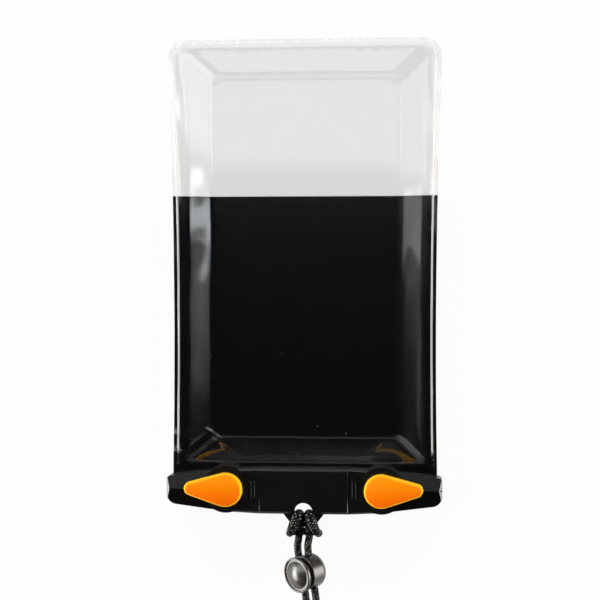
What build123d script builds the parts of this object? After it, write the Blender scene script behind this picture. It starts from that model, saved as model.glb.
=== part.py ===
from build123d import *
import os
from math import acos, asin, cos, radians, sin, tan

os.makedirs("parts", exist_ok=True)

# A waterproof pouch with a clamping clip and a lanyard, lying on its back. Millimetres.
# X runs across the pouch, Y from the clip up to the rounded end, Z up from the table.

# Pouch sheets
case_length = 206.4      # rounded end to the foot of the eyelet tab
film = 0.5               # thickness of each sheet
foot_half_width = 56.2   # half width of the pouch at the clip
head_flare = 2.0         # how much wider it is on each side at its rounded end
waist_draw = 0.3         # and how much narrower at its waist
corner_radius = 7.8
weld_width = 2.4         # flat edge where the sheets are welded
bead_inset = 1.45        # pouch edge to the low bead along the weld
bead_width = 0.85
bead_height = 0.25
pocket_depth = 9.5       # clear height inside the filled pocket
side_slope = 15.5        # weld to the flat middle of the pocket, at the waist
pocket_head_gap = 17.0   # rounded end to the flat middle
pocket_foot_gap = 13.4   # clip to the flat middle
pocket_corner = 4.0
slope_foot_gap = 1.5     # clip to the place where the sheets close
black_sheet_top = 140.0  # foot of the case to the top of the black rear sheet

# Clip bars. Three stations from the middle outwards: panel edge, pivot and end.
eyelet_reach = 15.7      # pivot line to the foot of the eyelet tab
bar_overhang = 2.2       # clip's end past the pouch's edge
pivot_from_end = 25.5
panel_half_width = 18.8
bar_rise = (8.8, 8.1, 5.3)     # half heights above the pivot line, at the three stations
bar_fall = (10.3, 9.6, 6.2)    # and below it
end_top_radius = 1.8
end_foot_radius = 4.6
end_slope = 1.3          # sloping top edge at the bar's ends, its width and its drop
end_drop = 0.9
end_rounding = 0.4
front_thickness = 5.2
bar_chamfer = 0.8
boss_radius = 9.9
boss_height = 1.0
panel_height = 0.4
panel_bevel = 0.2
roof_length = 20.4       # ridged ends of the front bar
roof_drop = 1.5
end_notch = 1.1
rib_offsets = (10.5, 12.0)
rib_width = 0.7
rib_length = 7.0
rib_height = 0.5
rib_rounding = 0.17

# Sealing ridge in the front bar, and the groove that it presses the sheets into
seal_offset = 4.2
seal_inset = 2.2         # bar's end to the ridge's end
seal_half_top = 1.1
seal_half_foot = 0.4
seal_depth = 0.9

# Eyelet tab
tab_half_root = 8.7
tab_half_foot = 4.6
tab_thickness = 3.3
tab_corner = 2.4
eyelet_radius = 3.9
eyelet_lip = 5.2
tab_lip = 0.6            # flare of the tab's own two faces
eyelet_centre = 6.3      # foot of the tab to the eyelet's centre
rear_notch_gap = 1.8     # rear bar's notch outside the eyelet

# Twist levers and their bolts
lever_head_radius = 7.2
lever_tip_radius = 2.9
lever_reach = 14.6
lever_height = 4.1
lever_tilt = 2.0         # degrees, both tips slightly up
lever_crown = 95.0       # radius of the domed top along the lever
lever_camber = 26.0      # and across it
crown_offset = 4.9       # pivot to the highest point of the dome
lever_rounding = 1.6
lever_foot_edge = 0.2
turn_gap = 0.1           # running clearance of the turning pieces
hook_gap = 0.2           # hook in the keyhole
recess_gap = 0.6         # hook's end in its recess
slot_gap = 0.4           # bolt in the sheets' slots
shaft_radius = 2.6
collar_radius = 4.5
collar_height = 1.0
square_side = 5.6
square_height = 2.4
hook_reach = 6.0
hook_width = 4.6
hook_foot = 0.4          # table to the underside of the hook
hook_height = 1.6
ramp_rise = 0.9          # how far the hook's ramp climbs towards the keyhole
tail_below_pivot = 4.0   # sheets run on past the pivot line

# Lanyard cord
cord = 3.0
cord_hole_gap = 0.15
straight_before = 10.0   # straight stretch of both cords, before and after the lock's centre
straight_after = 18.5
arc_share = 0.45         # share of a straight run that one bend may take up
coil_inner_turn = 12.0   # centre of the innermost turn
coil_turns = 4           # turns side by side in each of the two layers
coil_edge = 1.42         # rounding of the coil's section
coil_offset = (6.0, -74.1)     # coil's centre from the eyelet
knot_radius = 4.6

# Cord lock. Its own axis points at the button; the cords cross it.
lock_offset = (1.1, -25.75, 8.4)   # from the eyelet, and its height above the table
lock_twist = 11.0        # degrees, cords through the lock, from the case's length
lock_lift = 48.0         # degrees, button above the table
lock_spacing = 3.15      # lock's axis to each cord
barrel_radius = 7.3
barrel_foot = 5.9
barrel_top = 2.4
barrel_floor = 0.7
barrel_rounding = 2.6
barrel_edge = 0.35
bore_radius = 5.75
plunger_gap = 0.08
plunger_foot = 2.3
press_travel = 2.0
head_radius = 7.6
head_height = 1.6
head_rounding = 0.5
dish_radius = 6.7        # shallow dish round the dome
dish_depth = 0.6
dish_edge = 0.3
dome_radius = 5.9
dome_height = 2.1
spring_radius = 3.6
spring_wire = 0.4
spring_turns = 2

# Levels and lines that follow from the sizes above
head_half_width = foot_half_width + head_flare
waist_half_width = foot_half_width - waist_draw
top_y = case_length / 2
foot_y = -case_length / 2
pivot_y = foot_y + eyelet_reach
bar_top_y = pivot_y + bar_rise[0]
bar_foot_y = pivot_y - bar_fall[0]
bar_half_length = foot_half_width + bar_overhang
pivot_x = bar_half_length - pivot_from_end
seal_half_length = bar_half_length - seal_inset
slope_foot_y = bar_top_y + slope_foot_gap
tail_y = pivot_y - tail_below_pivot
pocket_width = 2 * (waist_half_width - weld_width - side_slope)
pocket_length = top_y - pocket_head_gap - bar_top_y - pocket_foot_gap
waist_y = (top_y + bar_top_y) / 2
split_y = foot_y + black_sheet_top
seal_y = pivot_y + seal_offset
eyelet_y = foot_y + eyelet_centre
seam_z = film + pocket_depth / 2
front_z = seam_z + film
rear_top_z = seam_z - film
bar_top_z = front_z + front_thickness
boss_top_z = bar_top_z + boss_height
lever_z = boss_top_z + turn_gap
hook_top_z = hook_foot + hook_height
bore_of_shaft = shaft_radius + turn_gap
head_foot = barrel_top + press_travel + turn_gap
coil_centre = (coil_offset[0], eyelet_y + coil_offset[1])
lock_centre = (lock_offset[0], eyelet_y + lock_offset[1], lock_offset[2])


def outline_edges(inset, start_y):
    """The pouch's sides, round corners and top, moved inwards by inset, from start_y up."""
    radius = corner_radius - inset
    head_half = head_half_width - inset
    head = top_y - inset
    side = ThreePointArc(
        (foot_half_width - inset, start_y),
        (waist_half_width - inset, waist_y),
        (head_half, head - radius),
    )
    corner = ThreePointArc(
        (head_half, head - radius),
        (head_half - radius * (1 - cos(radians(45))), head - radius * (1 - sin(radians(45)))),
        (head_half - radius, head),
    )
    top = Line((head_half - radius, head), (radius - head_half, head))
    return [side, corner, top] + [mirror(edge, about=Plane.YZ) for edge in (corner, side)]


def pouch_face(inset, foot):
    """Outline of the pouch, closed straight across at foot, under the clip."""
    half = foot_half_width - inset
    start = Line((half, foot), (half, bar_top_y))
    end = Line((-half, foot), (half, foot))
    return make_face([start, *outline_edges(inset, bar_top_y), mirror(start, about=Plane.YZ), end])


def slope_section():
    """Where the sloping part of a sheet leaves the weld and the clip."""
    half = foot_half_width - weld_width
    waist = waist_half_width - weld_width
    head_half = head_half_width - weld_width
    head = top_y - weld_width
    right = [(half, slope_foot_y), (waist, waist_y), (head_half, head)]
    left = [(-x, y) for x, y in reversed(right)]
    face = make_face(Polyline(*right, *left, close=True))
    return fillet(face.vertices().sort_by(Axis.Y)[-2:], corner_radius - weld_width)


def pocket_section():
    """The flat middle of the pocket."""
    half = pocket_width / 2
    head = top_y - pocket_head_gap
    right = [(half, head - pocket_length), (half, waist_y), (half, head)]
    left = [(-x, y) for x, y in reversed(right)]
    face = make_face(Polyline(*right, *left, close=True))
    return fillet(face.vertices().sort_by(Axis.Y)[-2:], pocket_corner)


def sloped_block(base_z):
    """The space under one sheet, from the weld up to the flat middle."""
    low = Pos(0, 0, base_z) * slope_section()
    high = Pos(0, 0, base_z + pocket_depth / 2) * pocket_section()
    return loft([low, high], ruled=True)


def weld_bead():
    """Low bead along the inner side of the weld, from the clip round the head and back."""
    faces = []
    for inset in (bead_inset, bead_inset + bead_width):
        half = foot_half_width - inset
        foot = Line((-half, slope_foot_y), (half, slope_foot_y))
        faces.append(make_face([*outline_edges(inset, slope_foot_y), foot]))
    return Pos(0, 0, seam_z) * extrude(faces[0] - faces[1], film + bead_height)


def seal_points(level):
    """The dip that the ridge makes, from one side to the other, at a given level."""
    return [
        (seal_y - seal_half_top, level),
        (seal_y - seal_half_foot, level - seal_depth),
        (seal_y + seal_half_foot, level - seal_depth),
        (seal_y + seal_half_top, level),
    ]


def across(points, half_width):
    """A bar across the pouch with the given outline in the Y-Z plane."""
    face = make_face(Plane.YZ * Polyline(*points, close=True))
    return Pos(-half_width, 0, 0) * extrude(face, 2 * half_width, dir=(1, 0, 0))


def bolt_slots():
    """Slots that let the sheets' tail slide round the two bolts."""
    radius = shaft_radius + slot_gap
    slots = Sketch()
    for side in (-1, 1):
        slots += Pos(side * pivot_x, pivot_y) * Circle(radius)
        mouth = Pos(side * pivot_x, pivot_y - tail_below_pivot)
        slots += mouth * Rectangle(2 * radius, 2 * tail_below_pivot)
    return slots


def front_film():
    """Clear front sheet: welded edge, slopes, flat window and the tail that the clip grips."""
    sheet = Pos(0, 0, seam_z) * extrude(pouch_face(0, tail_y), film)
    sheet += sloped_block(front_z) + weld_bead()
    sheet -= sloped_block(seam_z)
    sheet -= Pos(0, 0, seam_z) * extrude(bolt_slots(), film)
    sheet -= Pos(0, seal_y, seam_z + film / 2) * Box(3 * foot_half_width, 2 * seal_half_top, 2 * film)
    dip = seal_points(front_z) + seal_points(seam_z)[::-1]
    return sheet + across(dip, foot_half_width)


def rear_film():
    """Whole rear sheet, the front one turned over, with the same dip at the ridge."""
    sheet = Pos(0, 0, rear_top_z) * extrude(pouch_face(0, tail_y), film)
    sheet += mirror(sloped_block(front_z) + weld_bead(), about=Plane.XY.offset(seam_z))
    sheet -= mirror(sloped_block(seam_z), about=Plane.XY.offset(seam_z))
    sheet -= Pos(0, 0, rear_top_z) * extrude(bolt_slots(), film)
    sheet -= Pos(0, seal_y, seam_z - film / 2) * Box(3 * foot_half_width, 2 * seal_half_top, 2 * film)
    dip = seal_points(seam_z) + seal_points(rear_top_z)[::-1]
    return sheet + across(dip, foot_half_width)


def rear_part(film_sheet, low, high):
    """The stretch of the rear sheet between two heights."""
    middle = (low + high) / 2
    return film_sheet & Pos(0, middle, seam_z / 2) * Box(4 * foot_half_width, high - low, 4 * seam_z)


def bar_face():
    """Outline that both bars share."""
    stations = (panel_half_width, pivot_x, bar_half_length)
    upper = [(x, rise) for x, rise in zip(stations, bar_rise)]
    lower = [(x, -fall) for x, fall in zip(stations, bar_fall)][::-1]
    right = upper + lower
    left = [(-x, y) for x, y in reversed(right)]
    face = make_face(Polyline(*right, *left, close=True))
    ends = face.vertices().sort_by(Axis.X)
    tops = [vertex for vertex in ends[:2] + ends[-2:] if vertex.Y > 0]
    face = fillet(tops, end_top_radius)
    feet = [vertex for vertex in face.vertices() if abs(vertex.Y + bar_fall[2]) < turn_gap]
    face = fillet(feet, end_foot_radius)
    return Pos(0, pivot_y) * face


def sloping_ends():
    """Block with sloping upper ends that the front bar is cut to."""
    low = front_z + front_thickness - end_drop
    right = [(bar_half_length, 0), (bar_half_length, low), (bar_half_length - end_slope, low + end_drop)]
    left = [(-x, z) for x, z in reversed(right)]
    face = make_face(Polyline(*right, *left, close=True))
    corners = [vertex for vertex in face.vertices() if vertex.Y > turn_gap]
    return extrude(Plane.XZ * fillet(corners, end_rounding), case_length, both=True)


def roof_cut(side):
    """What the sloping ends of the front bar leave out, above the ridge line."""
    cut = None
    for reach in (-bar_fall[0], bar_fall[0]):
        outline = Polyline(
            (pivot_y, bar_top_z),
            (pivot_y + reach, bar_top_z - roof_drop),
            (pivot_y + reach, bar_top_z + roof_drop),
            (pivot_y, bar_top_z + roof_drop),
            close=True,
        )
        wedge = extrude(make_face(Plane.YZ * outline), bar_half_length, dir=(1, 0, 0))
        cut = wedge if cut is None else cut + wedge
    cut = Pos(bar_half_length - roof_length, 0, 0) * cut
    return cut if side > 0 else mirror(cut, about=Plane.YZ)


def eyelet_tab():
    """Tab below the middle of the front bar, without its eyelet."""
    outline = Polyline(
        (-tab_half_root, bar_foot_y + bar_chamfer),
        (-tab_half_root, bar_foot_y),
        (-tab_half_foot, foot_y),
        (tab_half_foot, foot_y),
        (tab_half_root, bar_foot_y),
        (tab_half_root, bar_foot_y + bar_chamfer),
        close=True,
    )
    face = make_face(outline)
    face = fillet(face.vertices().sort_by(Axis.Y)[:2], tab_corner)
    return Pos(0, 0, front_z) * extrude(face, tab_thickness)


def eyelet_cut():
    """Eyelet bore with a flared lip on both faces."""
    flare = eyelet_lip - eyelet_radius
    bore = Pos(0, eyelet_y, front_z + front_thickness / 2) * Cylinder(eyelet_radius, 2 * front_thickness)
    lip = Pos(0, eyelet_y, bar_top_z - flare / 2) * Cone(eyelet_radius, eyelet_lip, flare)
    front_lip = Pos(0, eyelet_y, front_z + tab_thickness - tab_lip / 2)
    front_lip = front_lip * Cone(eyelet_radius, eyelet_radius + tab_lip, tab_lip)
    back_lip = Pos(0, eyelet_y, front_z + tab_lip / 2)
    back_lip = back_lip * Cone(eyelet_radius + tab_lip, eyelet_radius, tab_lip)
    return bore + lip + front_lip + back_lip


def front_bar():
    """Front half of the clip: panel, bosses, ribs, eyelet tab and the sealing ridge."""
    bar = Pos(0, 0, front_z) * extrude(bar_face(), front_thickness)
    bar = chamfer(bar.faces().sort_by(Axis.Z)[-1].edges(), bar_chamfer)
    bar &= sloping_ends()
    for side in (-1, 1):
        bar -= roof_cut(side)
        notch = Pos(side * bar_half_length, pivot_y, bar_top_z) * Rot(0, 0, 45)
        bar -= notch * Box(end_notch, end_notch, 3 * roof_drop)
    panel_face = Rectangle(2 * panel_half_width, bar_top_y - bar_foot_y - 2 * bar_chamfer)
    panel = Pos(0, (bar_top_y + bar_foot_y) / 2, bar_top_z) * extrude(panel_face, panel_height)
    bar += chamfer(panel.faces().sort_by(Axis.Z)[-1].edges(), panel_bevel)
    bar += eyelet_tab()
    for side in (-1, 1):
        boss = Pos(side * pivot_x, pivot_y, (front_z + boss_top_z) / 2)
        bar += boss * Cylinder(boss_radius, boss_top_z - front_z)
        for offset in rib_offsets:
            rib = Pos(side * (pivot_x - offset), pivot_y, bar_top_z + rib_height / 2)
            block = Box(rib_width, rib_length, rib_height)
            bar += rib * fillet(block.edges().group_by(Axis.Z)[-1], rib_rounding)
    bar += across(seal_points(front_z), seal_half_length)
    bar -= eyelet_cut()
    for side in (-1, 1):
        centre = Pos(side * pivot_x, pivot_y, 0)
        bar -= centre * Pos(0, 0, bar_top_z) * Cylinder(bore_of_shaft, 4 * front_thickness)
        sink = collar_height + turn_gap
        bar -= centre * Pos(0, 0, boss_top_z - sink / 2) * Cylinder(collar_radius + turn_gap, sink)
    return bar


def hook_recess(side):
    """Round recess in the back of the rear bar. Its roof climbs from the hook's closed place
    towards the keyhole, so turning the hook back draws the bars together."""
    reach = hook_reach + recess_gap
    low = hook_top_z + turn_gap
    outline = Polyline(
        (-reach, -low), (reach, -low), (reach, low), (-reach, low + ramp_rise), close=True
    )
    ramp = extrude(make_face(Plane.XZ * outline), 2 * reach, both=True)
    recess = ramp & Cylinder(reach, 4 * rear_top_z)
    recess = recess if side < 0 else mirror(recess, about=Plane.YZ)
    return Pos(side * pivot_x, pivot_y, 0) * recess


def keyhole(side):
    """Hole for the bolt's shaft, with a slot on the outer side for its hook."""
    reach = hook_reach + hook_gap
    hole = Cylinder(bore_of_shaft, 4 * rear_top_z)
    slot = Pos(side * reach / 2, 0, 0) * Box(reach, hook_width + 2 * hook_gap, 4 * rear_top_z)
    return Pos(side * pivot_x, pivot_y, 0) * (hole + slot)


def rear_bar():
    """Rear half of the clip: groove, keyholes and recesses for the hooks."""
    bar = extrude(bar_face(), rear_top_z)
    bar = chamfer(bar.faces().sort_by(Axis.Z)[0].edges(), bar_chamfer)
    bar += Pos(0, 0, bar_chamfer) * extrude(boss_faces(), rear_top_z - bar_chamfer)
    bar -= across(seal_points(rear_top_z) + [(seal_y, rear_top_z + film)], seal_half_length)
    notch_radius = eyelet_radius + rear_notch_gap
    bar -= Pos(0, eyelet_y, 0) * Cylinder(notch_radius, 4 * rear_top_z)
    bar -= Pos(0, bar_foot_y, 0) * Box(2 * notch_radius, 2 * (eyelet_y - bar_foot_y), 4 * rear_top_z)
    for side in (-1, 1):
        bar -= hook_recess(side)
        bar -= keyhole(side)
    return bar


def boss_faces():
    """The two round bosses in plan."""
    faces = Sketch()
    for side in (-1, 1):
        faces += Pos(side * pivot_x, pivot_y) * Circle(boss_radius)
    return faces


def lever_face():
    """Teardrop outline with its head on the pivot and its tip towards +X."""
    lean = acos((lever_head_radius - lever_tip_radius) / lever_reach)
    head = (lever_head_radius * cos(lean), lever_head_radius * sin(lean))
    tip = (lever_reach + lever_tip_radius * cos(lean), lever_tip_radius * sin(lean))
    upper = Line(head, tip)
    nose = ThreePointArc(tip, (lever_reach + lever_tip_radius, 0), (tip[0], -tip[1]))
    lower = Line((tip[0], -tip[1]), (head[0], -head[1]))
    back = ThreePointArc((head[0], -head[1]), (-lever_head_radius, 0), head)
    return make_face([upper, nose, lower, back])


def lever(side):
    """Twist lever: domed teardrop with a square socket over the bolt's head."""
    body = extrude(lever_face(), 2 * lever_height)
    dome = Rot(90, 0, 0) * Torus(lever_crown - lever_camber, lever_camber)
    body = body & Pos(crown_offset, 0, lever_height - lever_crown) * dome
    rim = body.edges().filter_by(lambda edge: edge.center().Z > lever_height / 2)
    body = fillet(rim, lever_rounding)
    under = body.edges().filter_by(lambda edge: edge.center().Z < turn_gap)
    body = chamfer(under, lever_foot_edge)
    socket = Box(square_side + turn_gap, square_side + turn_gap, 2 * (square_height + turn_gap))
    body -= socket
    turn = lever_tilt if side > 0 else 180 - lever_tilt
    return Pos(side * pivot_x, pivot_y, lever_z) * Rot(0, 0, turn) * body


def cam_bolt(side):
    """Bolt that carries the lever: square head, collar, shaft and a one-sided hook."""
    head = Pos(0, 0, lever_z + square_height / 2 - turn_gap) * Box(square_side, square_side, square_height)
    turn = lever_tilt if side > 0 else 180 - lever_tilt
    head = Rot(0, 0, turn) * head
    collar = Pos(0, 0, boss_top_z - collar_height / 2) * Cylinder(collar_radius, collar_height)
    shaft_length = boss_top_z - hook_foot
    shaft = Pos(0, 0, hook_foot + shaft_length / 2) * Cylinder(shaft_radius, shaft_length)
    hook_face = Rectangle(2 * hook_reach, hook_width) & Circle(hook_reach)
    hook_face = hook_face & Pos(hook_reach, 0) * Rectangle(2 * hook_reach, hook_width)
    hook = Pos(0, 0, hook_foot) * extrude(hook_face, hook_height)
    hook = hook if side < 0 else Rot(0, 0, 180) * hook
    return Pos(side * pivot_x, pivot_y, 0) * (head + collar + shaft + hook)


def lock_plane():
    """The lock's own frame: X along the cords, Z along its axis towards the button."""
    along = Vector(sin(radians(lock_twist)), -cos(radians(lock_twist)), 0)
    level = Vector(-cos(radians(lock_twist)), -sin(radians(lock_twist)), 0)
    axis = level * cos(radians(lock_lift)) + Vector(0, 0, 1) * sin(radians(lock_lift))
    return Plane(origin=lock_centre, x_dir=along, z_dir=axis)


def lock_barrel():
    """Outer body of the cord lock: a cup with a rounded foot and two holes for the cords."""
    floor = barrel_floor - barrel_foot
    points = [
        (0, -barrel_foot),
        (barrel_radius, -barrel_foot),
        (barrel_radius, barrel_top),
        (bore_radius, barrel_top),
        (bore_radius, floor),
        (0, floor),
    ]
    face = make_face(Plane.XZ * Polyline(*points, close=True))
    foot_corner = face.vertices().sort_by_distance((barrel_radius, 0, -barrel_foot))[0]
    face = fillet(foot_corner, barrel_rounding)
    top_corner = face.vertices().sort_by_distance((barrel_radius, 0, barrel_top))[0]
    barrel = revolve(fillet(top_corner, barrel_edge), Axis.Z)
    hole = Rot(0, 90, 0) * Cylinder(cord / 2 + cord_hole_gap, 4 * barrel_radius)
    for side in (-1, 1):
        barrel -= Pos(0, side * lock_spacing, 0) * hole
    return lock_plane() * barrel


def lock_plunger():
    """Sprung plunger: a stem with two slots for the cords, and a dished head with a dome."""
    stem = bore_radius - plunger_gap
    head_top = head_foot + head_height
    dish = head_top - dish_depth
    cap_radius = (dome_radius**2 + dome_height**2) / (2 * dome_height)
    half_angle = asin(dome_radius / cap_radius) / 2
    cap_centre = dish + dome_height - cap_radius
    rise = (cap_radius * sin(half_angle), cap_centre + cap_radius * cos(half_angle))
    outline = [
        Polyline(
            (0, -plunger_foot),
            (stem, -plunger_foot),
            (stem, head_foot),
            (head_radius, head_foot),
            (head_radius, head_top),
            (dish_radius, head_top),
            (dish_radius, dish),
            (dome_radius, dish),
        ),
        ThreePointArc((dome_radius, dish), rise, (0, dish + dome_height)),
        Line((0, dish + dome_height), (0, -plunger_foot)),
    ]
    face = make_face([Plane.XZ * piece for piece in outline])
    for corner, radius in (
        ((head_radius, 0, head_foot), head_rounding),
        ((head_radius, 0, head_top), head_rounding),
        ((dish_radius, 0, head_top), dish_edge),
    ):
        face = fillet(face.vertices().sort_by_distance(corner)[0], radius)
    plunger = revolve(face, Axis.Z)
    width = cord + 2 * cord_hole_gap
    slot = SlotOverall(width + press_travel, width, rotation=90)
    slot = extrude(Plane.YZ * slot, 2 * head_radius, both=True)
    for side in (-1, 1):
        plunger -= Pos(0, side * lock_spacing, press_travel / 2) * slot
    return lock_plane() * plunger


def lock_spring():
    """Coil spring between the barrel's floor and the plunger."""
    floor = barrel_floor - barrel_foot
    height = -plunger_foot - floor - spring_wire - turn_gap
    path = Helix(pitch=height / spring_turns, height=height, radius=spring_radius)
    start = Plane(origin=path @ 0, z_dir=path % 0)
    wire = sweep(start * Circle(spring_wire / 2), path=path, is_frenet=True)
    return lock_plane() * Pos(0, 0, floor + spring_wire / 2 + turn_gap / 2) * wire


def lock_point(side, travel):
    """A point on one cord's line through the lock, so far along it from the lock's centre."""
    return tuple(lock_plane().from_local_coords(Vector(travel, side * lock_spacing, 0)))


def corner_radii(points):
    """Largest arc that each corner's two runs allow."""
    radii = []
    for before, corner, after in zip(points, points[1:], points[2:]):
        first = Vector(corner) - Vector(before)
        second = Vector(after) - Vector(corner)
        turn = radians(first.get_angle(second))
        radii.append(arc_share * min(first.length, second.length) / tan(turn / 2))
    return radii


def cord_tube(name, points):
    """Plain tube along straight runs joined by tangent arcs."""
    radii = corner_radii(points)
    path = FilletPolyline(*points, radius=radii)
    section = Plane(origin=points[0], z_dir=Vector(points[1]) - Vector(points[0])) * Circle(cord / 2)
    tube = sweep(section, path=path)
    ratio = tube.volume / (section.area * path.length)
    print(name, "length", round(path.length, 1), "volume ratio", round(ratio, 4))
    print("  radii", [round(radius, 1) for radius in radii])
    return tube


def cord_route(side, before_lock, after_lock):
    """Points of one cord, from the middle of the hitch, behind the tab, to the coil. Side -1 is left.
    Lists are offsets from the eyelet, with the height above the table."""
    hitch = [
        (0.0, -8.8, 1.6),
        (4.3, -8.8, 1.6),
        (6.2, -9.0, 2.9),
        (6.1, -8.7, 7.4),
        (5.5, -7.3, 10.6),
        (3.9, -4.0, 11.1),
        (2.1, -0.5, 11.0),
        (2.1, -0.5, 4.1),
        (2.1, -5.6, 4.1),
        (2.2, -9.0, 4.7),
    ]
    route = [(side * x, eyelet_y + y, z) for x, y, z in hitch]
    route += [(x, eyelet_y + y, z) for x, y, z in before_lock]
    route += [lock_point(side, -straight_before), lock_point(side, straight_after)]
    return route + [(x, eyelet_y + y, z) for x, y, z in after_lock]


left_route = cord_route(
    -1, [(-2.4, -12.3, 5.6)], [(-1.2, -50.5, 4.6), (-6.6, -56.0, 2.2), (-12.2, -60.7, 1.6)]
)
right_route = cord_route(
    1, [(2.15, -12.1, 7.4)], [(1.9, -50.4, 8.6), (-3.9, -54.9, 6.2), (-10.2, -59.3, 4.9)]
)


def coil():
    """The rest of both cords, wound flat in two layers, as one ring."""
    inner = coil_inner_turn - cord / 2
    width = coil_turns * cord
    section = Pos(inner + width / 2, 0, cord) * Rot(90, 0, 0) * RectangleRounded(width, 2 * cord, coil_edge)
    return Pos(*coil_centre, 0) * revolve(section, Axis.Z)


def end_knot():
    """The knot that joins the two cord ends, with its two legs, in the middle of the coil."""
    inner = coil_inner_turn - cord / 2
    body = Pos(0, 0, knot_radius) * Sphere(knot_radius)
    waist = Pos(0, 0, knot_radius) * Torus(knot_radius - cord / 3, cord / 2)
    body += waist
    reach = inner - knot_radius + cord / 2
    for side in (-1, 1):
        leg = Pos(side * (knot_radius - cord / 2 + reach / 2), 0, cord) * Rot(0, 90, 0)
        body += leg * Cylinder(cord / 2, reach)
    return Pos(*coil_centre, 0) * body


def save(name, shape):
    """Writes one named piece."""
    export_step(shape, f"parts/{name}.step")


back_sheet = rear_film()
save("front_sheet", front_film())
save("rear_black_sheet", rear_part(back_sheet, 2 * foot_y, split_y))
save("rear_window_sheet", rear_part(back_sheet, split_y, 2 * top_y))
save("clip_front_bar", front_bar())
save("clip_rear_bar", rear_bar())
for side, place in ((-1, "left"), (1, "right")):
    save("lever_" + place, lever(side))
    save("cam_bolt_" + place, cam_bolt(side))
save("lanyard_left", cord_tube("left cord", left_route))
save("lanyard_right", cord_tube("right cord", right_route))
save("lanyard_coil", coil())
save("lanyard_end_knot", end_knot())
save("cord_lock_barrel", lock_barrel())
save("cord_lock_plunger", lock_plunger())
save("cord_lock_spring", lock_spring())
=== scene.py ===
# %% [markdown]
# # A waterproof pouch with a clamping clip
# This lesson dresses a measured model of a soft pouch: two clear sheets and a black one, welded
# round the edge, shut by a black clip with two orange levers, with a braided lanyard and a cord lock.
# The measured model is loaded first and never moves. Everything else is placed by its numbers.

# %% Load the measured model
import math

import bmesh
import bpy
from mathutils import Matrix, Vector, noise


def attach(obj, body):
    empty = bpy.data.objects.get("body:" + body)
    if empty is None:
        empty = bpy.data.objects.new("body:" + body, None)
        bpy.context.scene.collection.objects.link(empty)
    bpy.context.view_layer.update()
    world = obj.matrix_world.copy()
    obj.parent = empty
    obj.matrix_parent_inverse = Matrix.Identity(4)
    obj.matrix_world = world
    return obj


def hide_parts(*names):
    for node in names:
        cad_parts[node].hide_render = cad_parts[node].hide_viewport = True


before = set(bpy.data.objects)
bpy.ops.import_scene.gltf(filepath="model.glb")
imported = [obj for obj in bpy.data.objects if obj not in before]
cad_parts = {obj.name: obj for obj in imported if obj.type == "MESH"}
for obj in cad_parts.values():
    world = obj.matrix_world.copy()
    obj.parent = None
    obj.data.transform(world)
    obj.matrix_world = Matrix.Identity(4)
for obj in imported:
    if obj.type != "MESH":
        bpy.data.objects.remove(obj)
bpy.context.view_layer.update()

# %% [markdown]
# ## Working in millimetres
# Blender works in metres here. The pouch is easier to describe in millimetres, so every length below
# is written in millimetres and turned into metres by one helper at the moment a point is made.

# %% Millimetre helpers
MM = 0.001
MAIN_BODY = "pouch_and_clip"


def at(x, y, z):
    """A point given in millimetres."""
    return Vector((x * MM, y * MM, z * MM))


def smooth_step(t):
    """Rises from 0 to 1 with a soft start and end."""
    t = min(1.0, max(0.0, t))
    return t * t * (3.0 - 2.0 * t)


print("100 mm is", round(at(100, 0, 0).length, 3), "m")

# %% [markdown]
# ## Camera
# The pouch was photographed lying flat, from straight above and a little from the right, with a long
# lens. The distance and the lens were chosen so that the pouch's corners and the clip's ends fall
# where they do in the picture. A long lens keeps the sides nearly parallel.

# %% Camera
CAMERA_PLACE = at(52.6, 2.3, 653.6)
CAMERA_AIM = at(-1.8, -7.45, 6.0)
LENS_MM = 91.9


def add_camera():
    data = bpy.data.cameras.new("camera")
    data.lens = LENS_MM
    camera = bpy.data.objects.new("camera", data)
    bpy.context.collection.objects.link(camera)
    back = (CAMERA_PLACE - CAMERA_AIM).normalized()
    right = Vector((0, 1, 0)).cross(back).normalized()
    up = back.cross(right)
    turn = Matrix((right, up, back)).transposed().to_4x4()
    camera.matrix_world = Matrix.Translation(CAMERA_PLACE) @ turn
    bpy.context.scene.camera = camera
    return camera


print("camera", add_camera().data.lens)

# %% [markdown]
# ## The lanyard's route
# The lanyard is one doubled cord. Its middle is the bight of the hitch: it crosses behind the two
# standing parts, comes round both sides of the tab, up its front and down into the eyelet, and from
# there behind the tab and out below. Both parts then run through the cord lock, and the rest is wound
# into a flat coil. A smooth spline with listed control points suits this, because a cord has no
# corners.

# %% Route of the cords
CORD = 3.0
EYELET_Y = -96.9
LOCK_CENTRE = (1.1, -122.65, 8.4)
LOCK_TWIST = math.radians(11.0)
LOCK_LIFT = math.radians(48.0)
LOCK_SPACING = 3.15
STRAIGHT_BEFORE = -10.0
STRAIGHT_AFTER = 18.5

along_cords = Vector((math.sin(LOCK_TWIST), -math.cos(LOCK_TWIST), 0.0))
flat_axis = Vector((-math.cos(LOCK_TWIST), -math.sin(LOCK_TWIST), 0.0))
lock_axis = flat_axis * math.cos(LOCK_LIFT) + Vector((0, 0, 1)) * math.sin(LOCK_LIFT)
across_cords = lock_axis.cross(along_cords)


def lock_point(side, travel):
    """A point of one cord inside the lock, in millimetres."""
    return tuple(Vector(LOCK_CENTRE) + along_cords * travel + across_cords * (side * LOCK_SPACING))


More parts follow.
